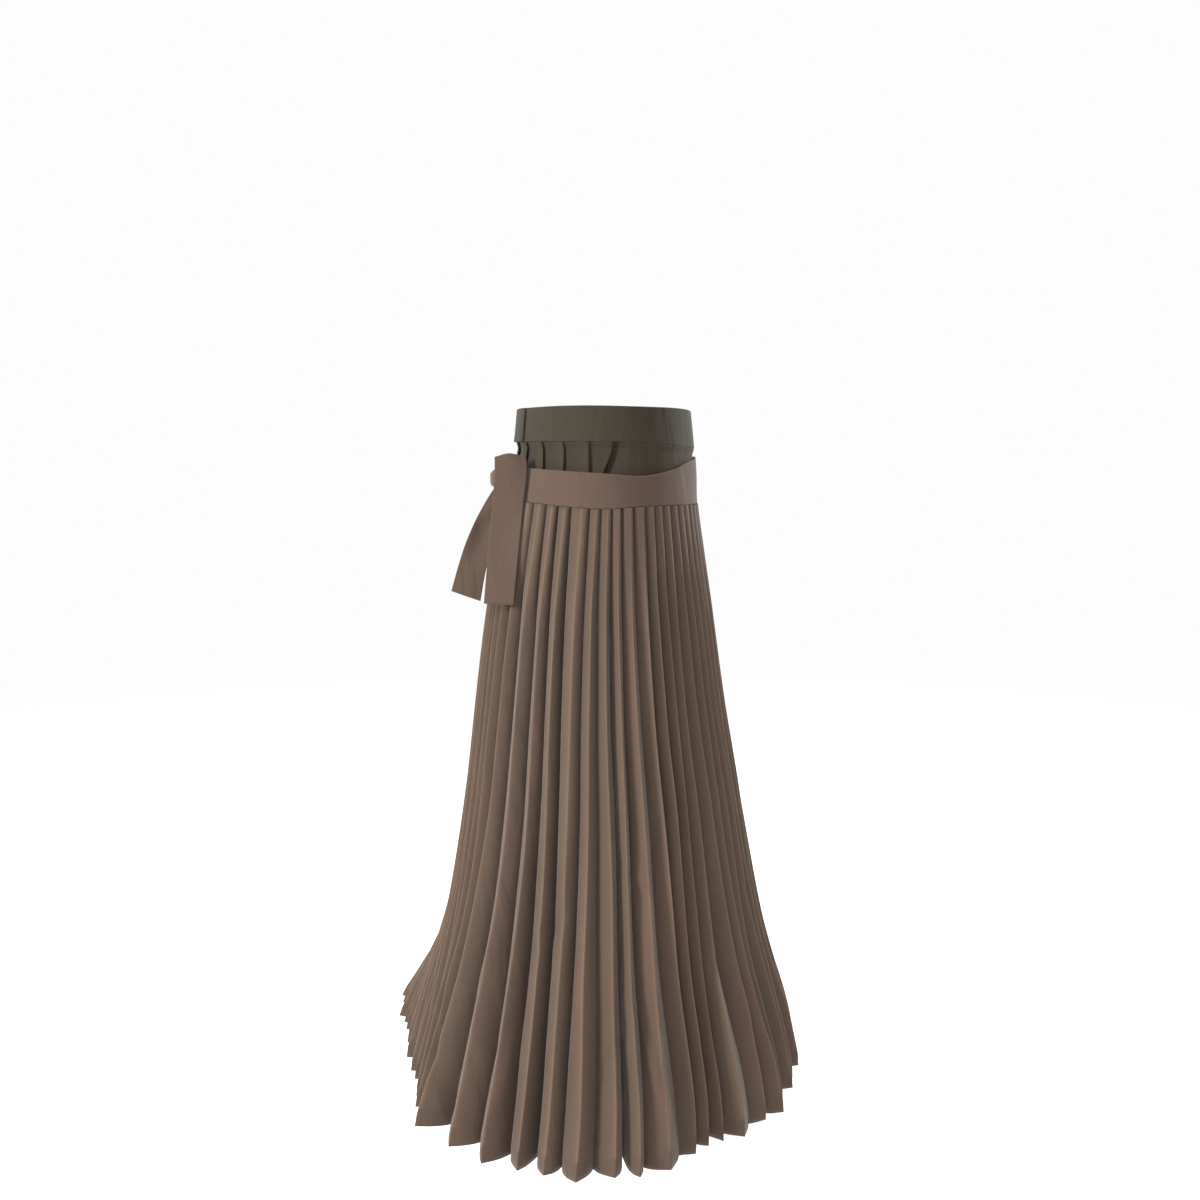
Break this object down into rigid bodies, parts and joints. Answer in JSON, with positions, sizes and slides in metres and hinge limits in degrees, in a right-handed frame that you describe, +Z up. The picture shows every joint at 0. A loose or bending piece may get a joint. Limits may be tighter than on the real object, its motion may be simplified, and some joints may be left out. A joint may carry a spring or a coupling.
{
  "type": "pleated skirt",
  "caption": "Long hollow skirt as worn: plain waistband, tucked upper skirt, and a flared accordion-pleated overskirt whose band rises in front and ties at the back.",
  "frame": {"origin": "middle of the waistband, half-way up it, on the wearer's own axis", "axes": "+Z up, -Y the front, +Y the back where the tie is, -X the wearer's right side"},
  "size_m": [0.6154, 0.5384, 0.8284],
  "materials": {
    "dark_cloth": "matte dark olive-brown woven cloth",
    "taupe_cloth": "matte taupe woven cloth, heat-set in pleats, with a slight sheen on the folds"
  },
  "bodies": {
    "root": {"waistband": "dark_cloth", "yoke": "dark_cloth", "overskirt_band": "taupe_cloth", "overskirt_front_right": "taupe_cloth", "overskirt_front_left": "taupe_cloth", "overskirt_back_right": "taupe_cloth", "overskirt_back_left": "taupe_cloth", "tie_knot": "taupe_cloth", "tie_end_near": "taupe_cloth", "tie_end_far": "taupe_cloth"}
  },
  "joints": []
}
